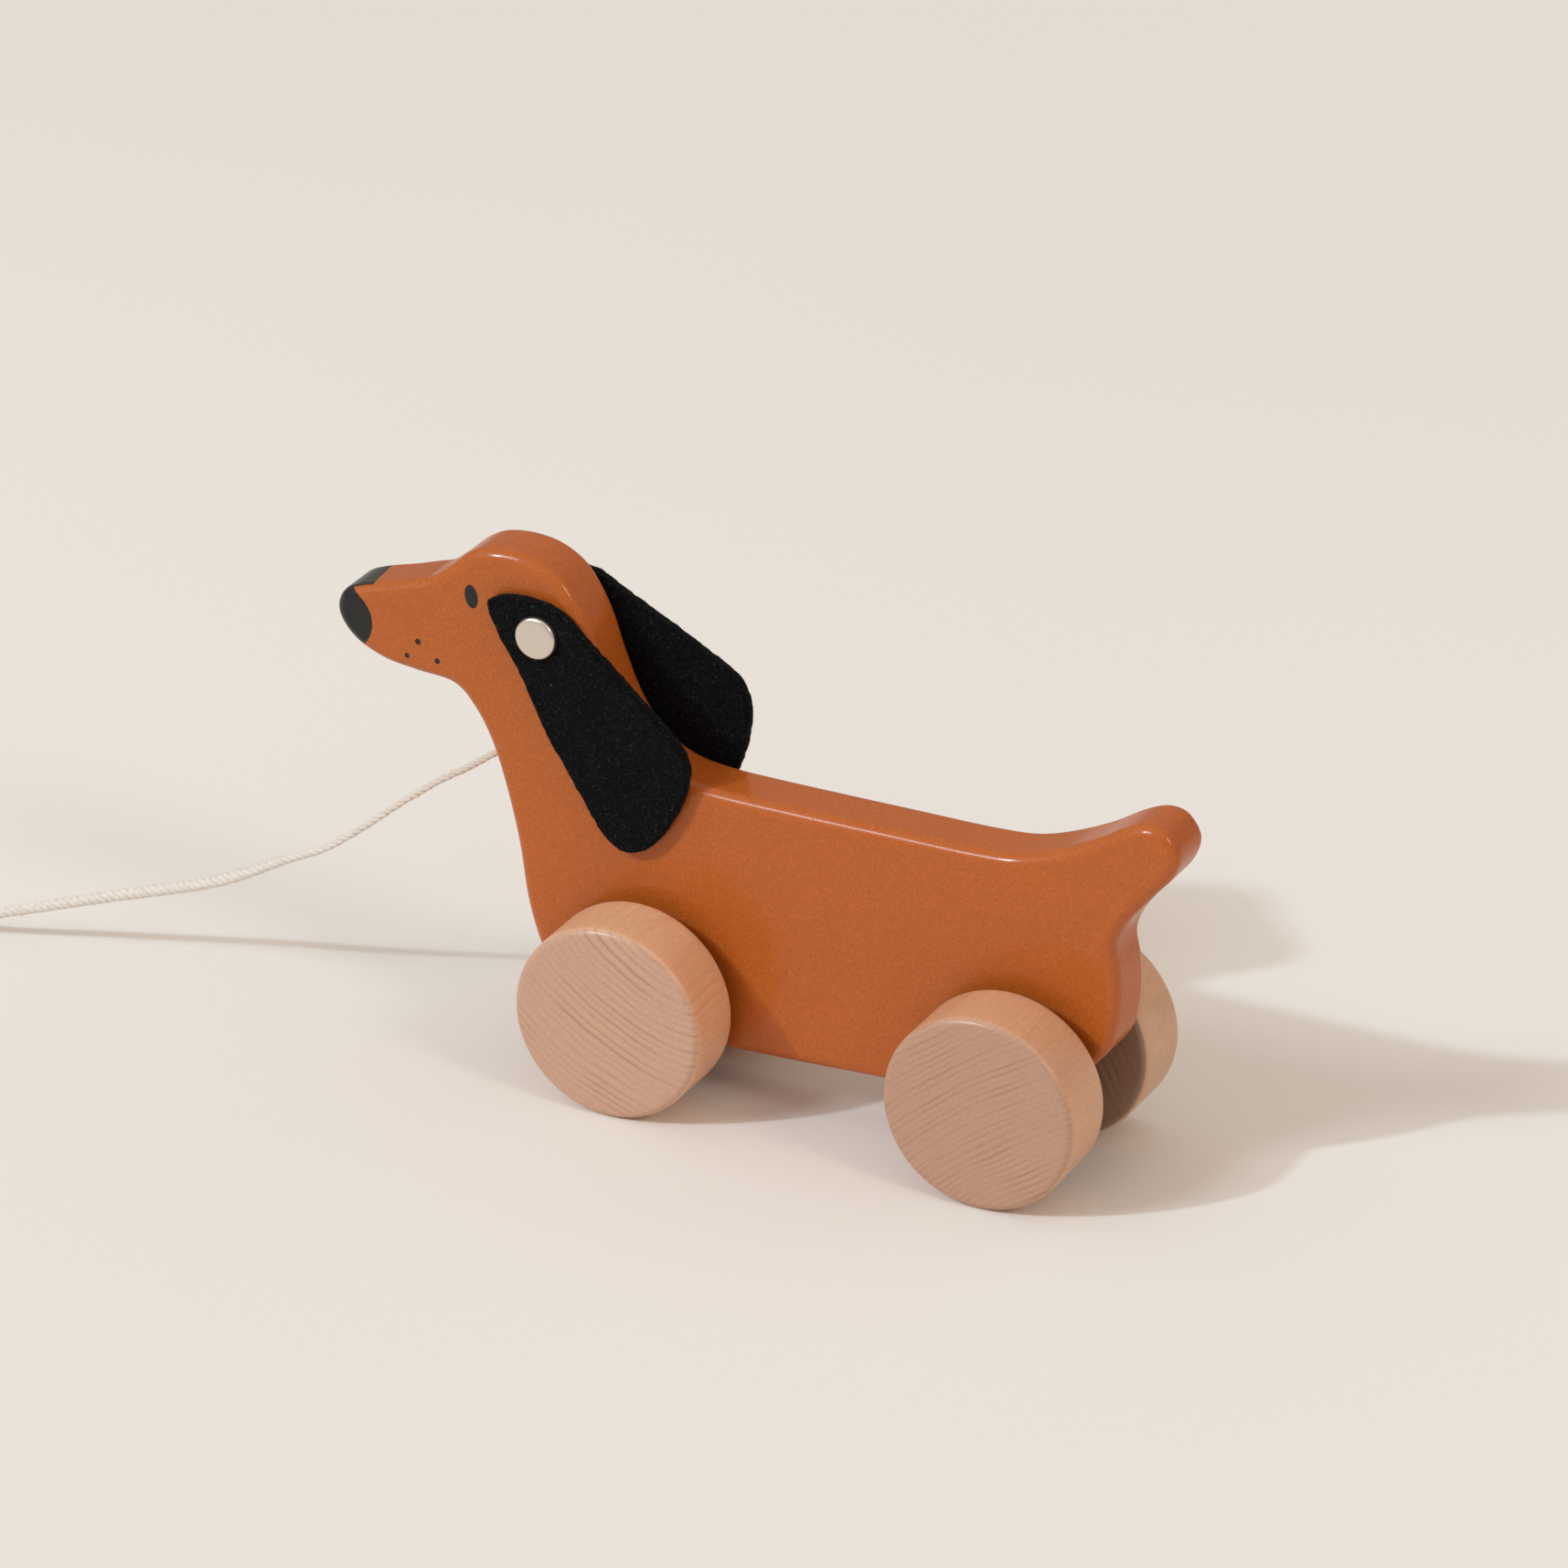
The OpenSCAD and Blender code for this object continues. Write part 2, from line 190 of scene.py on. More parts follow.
def plate(outline, t, r, steps, holes=(), grid=0.0, rows=1, skip=(0, 0)):
    """A plate with rounded edges and round holes, in (u, v, w) with w across its thickness.
    outline runs clockwise. Wall faces from skip[0] to skip[1] are left out.
    Returns points, normals and faces."""
    n = len(outline)
    along = unit(np.roll(outline, -1, axis=0) - np.roll(outline, 1, axis=0))
    out_n = np.stack([-along[:, 1], along[:, 0]], axis=1)
    rings, ring_n = [], []
    arc = [math.pi / 2 * k / steps for k in range(steps + 1)]
    for a in arc:
        rings.append((r * (1 - math.sin(a)), -t / 2 + r * (1 - math.cos(a)), math.sin(a), -math.cos(a)))
    for k in range(1, rows):
        rings.append((0.0, -t / 2 + r + (t - 2 * r) * k / rows, 1.0, 0.0))
    for a in reversed(arc):
        rings.append((r * (1 - math.sin(a)), t / 2 - r * (1 - math.cos(a)), math.sin(a), math.cos(a)))
    pts, nrm, faces = [], [], []
    for inset, w, side, flat in rings:
        loop = outline - inset * out_n
        pts.append(np.column_stack([loop, np.full(n, w)]))
        nrm.append(np.column_stack([out_n * side, np.full(n, flat)]))
    for k in range(len(rings) - 1):
        for i in range(n):
            if steps <= k < len(rings) - 1 - steps and skip[0] <= i < skip[1]:
                continue
            j = (i + 1) % n
            faces.append([k * n + i, k * n + j, (k + 1) * n + j, (k + 1) * n + i])
    loop = outline - r * out_n
    extra = None
    if grid:
        low, high = loop.min(axis=0), loop.max(axis=0)
        gx, gy = np.meshgrid(np.arange(low[0], high[0], grid), np.arange(low[1], high[1], grid * 0.87))
        gx = gx + (np.arange(gx.shape[0]) % 2)[:, None] * grid / 2
        g = np.column_stack([gx.ravel(), gy.ravel()])
        g = g[inside(g, loop)]
        for ring in [loop] + list(holes):
            near = np.min(np.linalg.norm(g[:, None] - ring[None], axis=2), axis=1)
            g = g[near > grid * 0.6]
        for h in holes:
            g = g[~inside(g, h)]
        extra = g
    flat_pts, tris = fill(loop, holes, extra)
    count = sum(len(p) for p in pts)
    for side, w, ring in ((-1, -t / 2, 0), (1, t / 2, len(rings) - 1)):
        m = len(flat_pts) - n
        index = {i: ring * n + i for i in range(n)}
        index.update({n + i: count + i for i in range(m)})
        pts.append(np.column_stack([flat_pts[n:], np.full(m, w)]))
        nrm.append(np.tile([0.0, 0.0, side], (m, 1)))
        faces += [[index[i] for i in tri] for tri in tris]
        count += m
    for h in holes:
        m = len(h)
        inward = unit(h.mean(axis=0) - h)
        for w in (-t / 2, t / 2):
            pts.append(np.column_stack([h, np.full(m, w)]))
            nrm.append(np.column_stack([inward, np.zeros(m)]))
        faces += [[count + i, count + (i + 1) % m, count + m + (i + 1) % m, count + m + i] for i in range(m)]
        count += 2 * m
    return np.concatenate(pts), np.concatenate(nrm), faces


def lathe(profile, centre, side, segments=160):
    """Points turned about an axis along Y: profile is (radius, distance outwards) with radius 0 at its ends.
    Returns points, normals and faces; corners sharper than 40 degrees stay sharp."""
    prof = np.asarray(profile, float)
    seg = np.diff(prof, axis=0)
    seg_n = unit(np.stack([seg[:, 1], -seg[:, 0]], axis=1))
    pts, nrm, faces = [], [], []
    a = np.linspace(0, 2 * math.pi, segments, endpoint=False)
    count = 0

    def add(p, n):
        nonlocal count
        pts.append(np.column_stack([centre[0] + p[0] * np.cos(a), np.full(segments, centre[1] + side * p[1]),
                                    centre[2] + p[0] * np.sin(a)]))
        nrm.append(np.column_stack([n[0] * np.cos(a), np.full(segments, side * n[1]), n[0] * np.sin(a)]))
        count += 1
        return count - 1

    start = add(prof[0], seg_n[0])
    for k in range(len(seg)):
        end_n = seg_n[k]
        soft = k + 1 < len(seg) and seg_n[k] @ seg_n[k + 1] > math.cos(math.radians(40))
        if soft:
            end_n = unit(seg_n[k] + seg_n[k + 1])
        end = add(prof[k + 1], end_n)
        for i in range(segments):
            j = (i + 1) % segments
            faces.append([start * segments + i, start * segments + j, end * segments + j, end * segments + i])
        start = end if soft or k + 1 == len(seg) else add(prof[k + 1], seg_n[k + 1])
    return np.concatenate(pts), np.concatenate(nrm), faces


def carried_frames(line):
    """Two directions across a line at each of its points, turned as little as possible along it."""
    tang = unit(np.gradient(line, axis=0))
    n1 = np.zeros_like(line)
    ref = np.array([0, 0, 1.0]) if abs(tang[0][2]) < 0.9 else np.array([1.0, 0, 0])
    n1[0] = unit(ref - tang[0] * (ref @ tang[0]))
    for i in range(1, len(line)):
        n1[i] = unit(n1[i - 1] - tang[i] * (n1[i - 1] @ tang[i]))
    return n1, np.cross(tang, n1), tang


STRAND_SIDES = 9
# How far a strand lies from the middle, and its own radius, as parts of the rope's radius
STRAND_FAR, STRAND_R = 0.47, 0.53


def rope(line, at, radius, pitch):
    """Surface of a three-strand rope along a line: points, faces, and UVs of length in mm and turn."""
    n1, n2, _ = carried_frames(line)
    sides = 3 * STRAND_SIDES
    phi = (np.arange(STRAND_SIDES) / STRAND_SIDES - 0.5) * 2 * math.pi / 3
    one = STRAND_FAR * np.cos(phi) + np.sqrt(STRAND_R ** 2 - (STRAND_FAR * np.sin(phi)) ** 2)
    shape = np.tile(one, 3)
    angle = np.concatenate([phi + k * 2 * math.pi / 3 for k in range(3)])
    radius = np.broadcast_to(radius, (len(line),))
    turn = 2 * math.pi * at / pitch
    verts = []
    for i in range(len(line)):
        a = angle + turn[i]
        r = shape * radius[i]
        verts.append(line[i] + (r * np.cos(a))[:, None] * n1[i] + (r * np.sin(a))[:, None] * n2[i])
    faces, uvs = [], []
    for i in range(len(line) - 1):
        for k in range(sides):
            j = (k + 1) % sides
            faces.append([i * sides + k, i * sides + j, (i + 1) * sides + j, (i + 1) * sides + k])
            u0, u1 = at[i], at[i + 1]
            v0, v1 = k / sides, (k + 1) / sides
            w0, w1 = at[i] / pitch, at[i + 1] / pitch
            uvs += [(u0, v0 + w0), (u0, v1 + w0), (u1, v1 + w1), (u1, v0 + w1)]
    last = (len(line) - 1) * sides
    for base, order, w in ((0, range(sides), at[0]), (last, range(sides), at[-1])):
        faces.append([base + k for k in (reversed(order) if base == 0 else order)])
        uvs += [(w, 0.0)] * sides
    return np.concatenate(verts), faces, uvs


def hairs(base, normal, length, radius, lift, seed, curl=0.7):
    """Fine tapered fibres standing on a surface: points and faces."""
    rng = np.random.default_rng(seed)
    m = len(base)
    side = unit(np.cross(normal, rng.normal(size=(m, 3))))
    first = unit(side + normal * rng.uniform(*lift, size=(m, 1)))
    second = unit(first + rng.normal(size=(m, 3)) * curl)
    size = rng.uniform(*length, size=(m, 1))
    p0 = base - normal * 0.08
    p1 = p0 + first * size * 0.55
    p2 = p1 + second * size * 0.45
    across = unit(np.cross(first, rng.normal(size=(m, 3))))
    other = np.cross(first, across)
    verts = np.zeros((m, 7, 3))
    for k in range(3):
        a = 2 * math.pi * k / 3
        ring = across * math.cos(a) + other * math.sin(a)
        verts[:, k] = p0 + ring * radius
        verts[:, 3 + k] = p1 + ring * radius * 0.75
    verts[:, 6] = p2
    start = (np.arange(m) * 7)[:, None]
    faces = []
    for k in range(3):
        j = (k + 1) % 3
        faces += (start + np.array([k, j, 3 + j])).tolist() + (start + np.array([k, 3 + j, 3 + k])).tolist()
        faces += (start + np.array([3 + k, 3 + j, 6])).tolist()
    return verts.reshape(-1, 3), faces


def scatter(verts, normals, faces, count, seed):
    """Random points of a surface, with their normals."""
    rng = np.random.default_rng(seed)
    tris = np.array([[f[0], f[k], f[k + 1]] for f in faces for k in range(1, len(f) - 1)])
    a, b, c = (verts[tris[:, k]] for k in range(3))
    area = np.linalg.norm(np.cross(b - a, c - a), axis=1)
    pick = rng.choice(len(tris), count, p=area / area.sum())
    r1, r2 = np.sqrt(rng.random((count, 1))), rng.random((count, 1))
    w = np.concatenate([1 - r1, r1 * (1 - r2), r1 * r2], axis=1)[:, :, None]
    t = tris[pick]
    return (verts[t] * w).sum(axis=1), unit((normals[t] * w).sum(axis=1))


# ---------------------------------------------------------------- material helper
class Value:
    """A socket that can be reckoned with."""

    def __init__(self, graph, socket):
        self.g, self.s = graph, socket

    def __add__(self, o): return self.g.math("ADD", self, o)
    def __radd__(self, o): return self.g.math("ADD", o, self)
    def __sub__(self, o): return self.g.math("SUBTRACT", self, o)
    def __rsub__(self, o): return self.g.math("SUBTRACT", o, self)
    def __mul__(self, o): return self.g.math("MULTIPLY", self, o)
    def __rmul__(self, o): return self.g.math("MULTIPLY", o, self)
    def __truediv__(self, o): return self.g.math("DIVIDE", self, o)
    def __pow__(self, o): return self.g.math("POWER", self, o)


class Finish:
    """A material with one Principled shader, and short names for the nodes that feed it."""

    def __init__(self, name, **shader):
        self.mat = bpy.data.materials.new(name)
        self.mat.use_nodes = True
        self.tree = self.mat.node_tree
        self.tree.nodes.clear()
        self.out = self.tree.nodes.new("ShaderNodeOutputMaterial")
        self.bsdf = self.tree.nodes.new("ShaderNodeBsdfPrincipled")
        self.tree.links.new(self.bsdf.outputs[0], self.out.inputs[0])
        for key, value in shader.items():
            self.bsdf.inputs[key.replace("_", " ")].default_value = value
        coord = self.tree.nodes.new("ShaderNodeTexCoord")
        scale = self.node("ShaderNodeVectorMath", operation="SCALE")
        self.tree.links.new(coord.outputs["Object"], scale.inputs[0])
        scale.inputs["Scale"].default_value = 1000.0
        self.p = Value(self, scale.outputs[0])
        split = self.node("ShaderNodeSeparateXYZ")
        self.tree.links.new(scale.outputs[0], split.inputs[0])
        self.x, self.y, self.z = (Value(self, s) for s in split.outputs)
        self.coord = coord

    def node(self, kind, **props):
        n = self.tree.nodes.new(kind)
        for k, v in props.items():
            setattr(n, k, v)
        return n

    def feed(self, socket, value):
        if isinstance(value, Value):
            self.tree.links.new(value.s, socket)
        else:
            socket.default_value = value

    def math(self, op, a, b=None):
        n = self.node("ShaderNodeMath", operation=op)
        self.feed(n.inputs[0], a)
        if b is not None:
            self.feed(n.inputs[1], b)
        return Value(self, n.outputs[0])

    def size(self, *parts):
        total = parts[0] * parts[0]
        for p in parts[1:]:
            total = total + p * p
        return self.math("SQRT", total)

    def ramp(self, value, low, high, out_low=0.0, out_high=1.0):
        n = self.node("ShaderNodeMapRange", interpolation_type="SMOOTHSTEP")
        self.feed(n.inputs["Value"], value)
        for key, v in (("From Min", low), ("From Max", high), ("To Min", out_low), ("To Max", out_high)):
            n.inputs[key].default_value = v
        return Value(self, n.outputs[0])

    def noise(self, scale, detail=2.0, rough=0.5, vector=None, stretch=None, warp=0.0):
        vector = vector or self.p
        if stretch:
            n = self.node("ShaderNodeMapping")
            self.feed(n.inputs["Vector"], vector)
            n.inputs["Scale"].default_value = stretch
            vector = Value(self, n.outputs[0])
        n = self.node("ShaderNodeTexNoise")
        self.feed(n.inputs["Vector"], vector)
        n.inputs["Scale"].default_value = scale
        n.inputs["Detail"].default_value = detail
        n.inputs["Roughness"].default_value = rough
        n.inputs["Distortion"].default_value = warp
        return Value(self, n.outputs[0])

    def line(self, value):
        """A vector along X, to read a noise along one quantity."""
        n = self.node("ShaderNodeCombineXYZ")
        self.feed(n.inputs[0], value)
        return Value(self, n.outputs[0])

    def mix(self, fac, a, b):
        n = self.node("ShaderNodeMix", data_type="RGBA")
        self.feed(n.inputs[0], fac)
        for socket, c in ((n.inputs[6], a), (n.inputs[7], b)):
            self.feed(socket, c if isinstance(c, Value) else (*c, 1.0))
        return Value(self, n.outputs[2])

    def shade(self, colour, factor):
        """A colour times a number."""
        n = self.node("ShaderNodeVectorMath", operation="SCALE")
        self.feed(n.inputs[0], colour if isinstance(colour, Value) else tuple(colour))
        self.feed(n.inputs["Scale"], factor)
        return Value(self, n.outputs[0])

    def bump(self, height, distance):
        n = self.node("ShaderNodeBump")
        self.feed(n.inputs["Height"], height)
        n.inputs["Distance"].default_value = distance * MM
        n.inputs["Strength"].default_value = 1.0
        return Value(self, n.outputs[0])

    def done(self, colour=None, rough=None, normal=None, **more):
        for key, v in (("Base Color", colour), ("Roughness", rough), ("Normal", normal)):
            if v is not None:
                self.feed(self.bsdf.inputs[key], v)
        for key, v in more.items():
            self.feed(self.bsdf.inputs[key.replace("_", " ")], v)
        return self.mat


# ---------------------------------------------------------------- camera
CAMERA_ANGLES = (26.3262, 25.7628, 0.9037)  # azimuth, elevation and roll in degrees
CAMERA_PLACE = (0.879316, -1.765436, 1.034353)  # in metres
CAMERA_LENS, CAMERA_SENSOR = 209.91, 36.0


def make_camera():
    azimuth, elevation, roll = (math.radians(v) for v in CAMERA_ANGLES)
    back = Vector((math.sin(azimuth) * math.cos(elevation), -math.cos(azimuth) * math.cos(elevation),
                   math.sin(elevation)))
    right = Vector((math.cos(azimuth), math.sin(azimuth), 0))
    up = back.cross(right)
    right, up = (math.cos(roll) * right + math.sin(roll) * up,
                 math.cos(roll) * up - math.sin(roll) * right)
    data = bpy.data.cameras.new("camera")
    data.lens, data.sensor_width, data.sensor_height = CAMERA_LENS, CAMERA_SENSOR, CAMERA_SENSOR
    data.clip_start, data.clip_end = 0.05, 60.0
    ob = bpy.data.objects.new("camera", data)
    turn = Matrix((right, up, back)).transposed().to_4x4()
    ob.matrix_world = Matrix.Translation(CAMERA_PLACE) @ turn
    bpy.context.scene.collection.objects.link(ob)
    bpy.context.scene.camera = ob


make_camera()

# ---------------------------------------------------------------- pull cord
COTTON, COTTON_CHEST_SHADE, COTTON_SPECK = (0.93, 0.84, 0.75), (0.88, 0.70, 0.53), (0.66, 0.48, 0.32)
CORD_PITCH = 6.0
# The cord's thickness at places along it, as parts of CORD_D: twisted hard at the chest, then fuller
THICK_AT = [0, 60, 84, 92, 110, 135, 160, 200]
THICK = [0.68, 0.66, 0.76, 1.0, 1.12, 1.12, 1.04, 1.0]


def cotton_finish():
    f = Finish("cotton", Sheen_Weight=0.5, Sheen_Roughness=0.6)
    uv = Value(f, f.coord.outputs["UV"])
    n = f.node("ShaderNodeSeparateXYZ")
    f.feed(n.inputs[0], uv)
    along, turn = Value(f, n.outputs[0]), Value(f, n.outputs[1])
    yarn = f.math("SINE", turn * (2 * math.pi * 18) + f.noise(0.9, 2) * 5.0 + along * 0.35) * 0.5 + 0.5
    fluff = f.noise(3.2, 4, 0.7)
    tone = f.noise(0.45, 2) * 0.10 + fluff * 0.14 + yarn * 0.06 + 0.87
    specks = f.ramp(f.noise(2.3, 2, 0.6), 0.70, 0.80)
    # Painted shade: near the chest the cotton turns peach, most in the grooves between the yarns
    near = f.ramp(along, 15, 92, 0.75, 0.0)
    colour = f.mix(near * (1.0 - yarn * 0.5), f.shade(COTTON, tone), COTTON_CHEST_SHADE)
    colour = f.mix(specks * 0.5, colour, COTTON_SPECK)
    return f.done(colour, f.ramp(fluff, 0.2, 0.8, 0.85, 0.98), f.bump(yarn * 0.6 + fluff * 0.7, 0.14))


def fuzz_finish():
    f = Finish("cotton_fuzz", Sheen_Weight=0.2, Sheen_Roughness=0.5)
    return f.done(f.shade(COTTON, f.noise(0.8, 2) * 0.2 + 0.86), f.noise(1.5) * 0.2 + 0.75)


def coil_line():
    """The wound turns: two layers of two turns, the lower one inwards and the upper one outwards."""
    points = []
    layer = 720
    for a in range(0, 2 * layer + 101, 10):
        if a <= layer:
            r, z = COIL_OUT_R - COIL_SPREAD * a / layer, COIL_LOW_Z
        else:
            r = min(COIL_IN_R + COIL_SPREAD * (a - layer) / layer, COIL_OUT_R)
            rise = min(1.0, (a - layer) / 80)
            z = COIL_LOW_Z + COIL_LIFT * rise * rise * (3 - 2 * rise)
        at = math.radians(COIL_START_ANGLE + a)
        points.append((COIL_CENTRE[0] + r * math.cos(at), COIL_CENTRE[1] + r * math.sin(at), z))
    return points


def cord_line():
    slope = math.radians(CORD_SLOPE)
    way = np.array([-math.cos(slope), 0, -math.sin(slope)])
    start = np.array(CORD_EXIT)
    inner = [start - way * CORD_HOLE_DEPTH, start - way * CORD_HOLE_DEPTH / 2, start]
    return resample(smooth_curve(inner + CORD_FREE + coil_line() + CORD_END, 6), 0.5)


def make_cord():
    line, at = cord_line()
    radius = CORD_D / 2 * np.interp(at, THICK_AT, THICK)
    lumps = np.array([noise.noise(Vector((a * 0.5, 0, 0))) + 0.6 * noise.noise(Vector((a * 1.1, 5, 0)))
                      for a in at])
    radius = radius * (1 + 0.12 * lumps)
    verts, faces, uvs = rope(line, at, radius, CORD_PITCH)
    cotton, fuzz = cotton_finish(), fuzz_finish()
    cord = add_piece("pull_cord_rope", verts, faces, [cotton], "root", uvs=uvs)
    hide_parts("pull_cord", "cord_coil", "cord_end")

    rng = np.random.default_rng(11)
    n1, n2, _ = carried_frames(line)
    pick = np.concatenate([rng.integers(30, len(line) - 2, 5600), rng.integers(170, 360, 2000)])
    a = rng.uniform(0, 2 * math.pi, (len(pick), 1))
    out = n1[pick] * np.cos(a) + n2[pick] * np.sin(a)
    base = line[pick] + out * radius[pick][:, None] * 0.9
    fv, ff = hairs(base, out, (0.5, 1.7), 0.022, (0.1, 0.9), 12)
    fv[:, 2] = np.maximum(fv[:, 2], 0.03)
    hair = add_piece("pull_cord_fuzz", fv, ff, [fuzz], "root")

    knot = make_knot(cotton, fuzz)
    tie = make_tie()


def make_knot(cotton, fuzz):
    """Overhand knot at the free end, and the frayed tuft past it."""
    way = unit(np.array([0.68, -0.73, 0.0]))
    across = np.array([0.73, 0.68, 0.0])
    upward = np.array([0, 0, 1.0])
    size, lift = 0.98, 1.0
    t = np.linspace(0.42, 2 * math.pi - 0.42, 44)
    a = t - math.pi / 2 + math.pi
    u = (np.sin(a) + 2 * np.sin(2 * a)) * size
    v = (np.cos(a) - 2 * np.cos(2 * a)) * size
    w = -np.sin(3 * a) * lift
    mid = np.array(KNOT_POS) - upward * 0.2
    pts = [mid + way * x + across * y + upward * z for x, y, z in zip(u, v, w)]
    first = np.array([-231.6, -60.9, 1.9])
    last = mid + way * 6.3 - upward * 1.7
    if np.linalg.norm(pts[0] - first) > np.linalg.norm(pts[-1] - first):
        pts.reverse()
    line, at = resample(smooth_curve([first] + pts + [last], 3), 0.35)
    verts, faces, uvs = rope(line, at, 1.12, 8.0)
    verts[:, 2] = np.maximum(verts[:, 2], 0.05)
    rng = np.random.default_rng(5)
    m = 150
    base = last - way * 0.6 + rng.normal(size=(m, 3)) * 0.45
    normal = unit(way + rng.normal(size=(m, 3)) * 0.35)
    fv, ff = hairs(base, normal, (2.2, 4.2), 0.06, (1.5, 4.0), 6, 0.35)
    fv[:, 2] = np.maximum(fv[:, 2], 0.05)
    shift = len(verts)
    uvs += [(0.0, 0.0)] * sum(len(f) for f in ff)
    mats = [0] * len(faces) + [1] * len(ff)
    faces = faces + [[i + shift for i in f] for f in ff]
    knot = add_piece("cord_knot", np.concatenate([verts, fv]), faces, [cotton, fuzz], "root",
                     face_mats=mats, uvs=uvs)
    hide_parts("end_knot")
    return knot


def make_tie():
    """Cotton thread wound six times round the coil."""
    f = Finish("tie_thread", Sheen_Weight=0.25, Sheen_Roughness=0.6)
    fine = f.noise(4.0, 3, 0.6)
    mat = f.done(f.shade((0.66, 0.58, 0.46), fine * 0.3 + 0.82), fine * 0.2 + 0.75, f.bump(fine, 0.08))
    a = math.radians(TIE_ANGLE)
    out = np.array([math.cos(a), math.sin(a), 0])
    along = np.array([-math.sin(a), math.cos(a), 0])
    mid = np.array([COIL_CENTRE[0], COIL_CENTRE[1], 3.4]) + out * 14.2
    turns, per = 6, 24
    pts = []
    for i in range(turns * per + 1):
        b = 2 * math.pi * i / per
        c, s = math.cos(b), math.sin(b)
        u = 3.25 * math.copysign(abs(c) ** 0.55, c)
        v = 3.05 * math.copysign(abs(s) ** 0.55, s)
        pts.append(mid + out * u + along * (-1.35 + 2.7 * i / (turns * per)) + np.array([0, 0, v]))
    line, at = resample(smooth_curve(pts, 3), 0.3)
    n1, n2, _ = carried_frames(line)
    sides, r = 8, 0.26
    ang = np.arange(sides) * 2 * math.pi / sides
    ring = np.cos(ang)[None, :, None] * n1[:, None] + np.sin(ang)[None, :, None] * n2[:, None]
    verts = (line[:, None] + ring * r).reshape(-1, 3)
    faces = []
    for i in range(len(line) - 1):
        for k in range(sides):
            j = (k + 1) % sides
            faces.append([i * sides + k, i * sides + j, (i + 1) * sides + j, (i + 1) * sides + k])
    tie = add_piece("cord_tie_thread", verts, faces, [mat], "root", normals=ring.reshape(-1, 3))
    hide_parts("cord_tie")
    return tie


make_cord()

# ---------------------------------------------------------------- painted body
PAINT = (0.472, 0.104, 0.0105)
BLACK_PAINT = (0.004, 0.004, 0.0036)
NOSE_X, NOSE_Z, EYE_X, EYE_Z = -111.0, 105.3, -74.8, 118.7
WHISKER_DOTS = ((-89.5, 103.5, 1.6), (-92.5, 99.2, 1.4), (-84.2, 99.5, 1.55))  # x, z and diameter


def paint_finish():
    f = Finish("body_paint", Specular_IOR_Level=0.24, Coat_Weight=0.45, Coat_Roughness=0.13)
    ay = f.math("ABSOLUTE", f.y)
    ragged = (f.noise(0.5, 2) - 0.5) * 0.5
    # Nose: a rounded patch on each side, and a straight brush edge across the bridge
    dx, dz = (f.x - NOSE_X) / 8.9, (f.z - NOSE_Z) / 8.5
    patch = f.ramp(f.size(dx, dz) + ragged * 0.06, 1.02, 0.985)
    tip = f.ramp(f.x + ragged, -107.8, -108.1)
    side_nose = f.math("MAXIMUM", patch, tip)
    top_nose = f.ramp(f.x + f.y * 0.128 + ragged * 0.5, -103.2, -103.5)
    on_side = f.ramp(ay, 6.2, 6.9)
    nose = side_nose * on_side + top_nose * (1.0 - on_side)
    # Eye and whisker dots, printed on both sides
    face = f.ramp(ay, 7.9, 8.1)
    ex, ez = f.x - EYE_X, f.z - EYE_Z
    eye = f.ramp(f.size((ex * 0.987 + ez * 0.16) / 1.8, (ez * 0.987 - ex * 0.16) / 3.1), 1.03, 0.95)
    marks = eye
    for x, z, d in WHISKER_DOTS:
        marks = f.math("MAXIMUM", marks, f.ramp(f.size(f.x - x, f.z - z), d / 2 + 0.08, d / 2 - 0.12))
    black = f.math("MAXIMUM", nose, marks * face)
    # Satin lacquer over wood: faint mottling, sprayed speckle, grain that shows through a little
    cloud = f.noise(0.035, 3)
    mottle = f.noise(0.9, 3, 0.65)
    speck = f.noise(2.1, 2, 0.8)
    grain = f.noise(0.8, 3, 0.6, stretch=(0.06, 1.0, 1.0))
    tone = cloud * 0.10 + mottle * 0.26 + speck * 0.75 + grain * 0.06 + 0.40
    warm = f.mix(f.ramp(speck, 0.55, 0.75), PAINT, (0.54, 0.137, 0.024))
    colour = f.mix(black, f.shade(warm, tone), f.shade(BLACK_PAINT, mottle * 0.4 + 0.8))
    rough = f.math("ADD", 0.44, mottle * 0.10 + cloud * 0.06 - black * 0.08)
    height = speck * 0.35 + mottle * 0.35 + grain * 0.45
    return f.done(colour, rough, f.bump(height, 0.045))


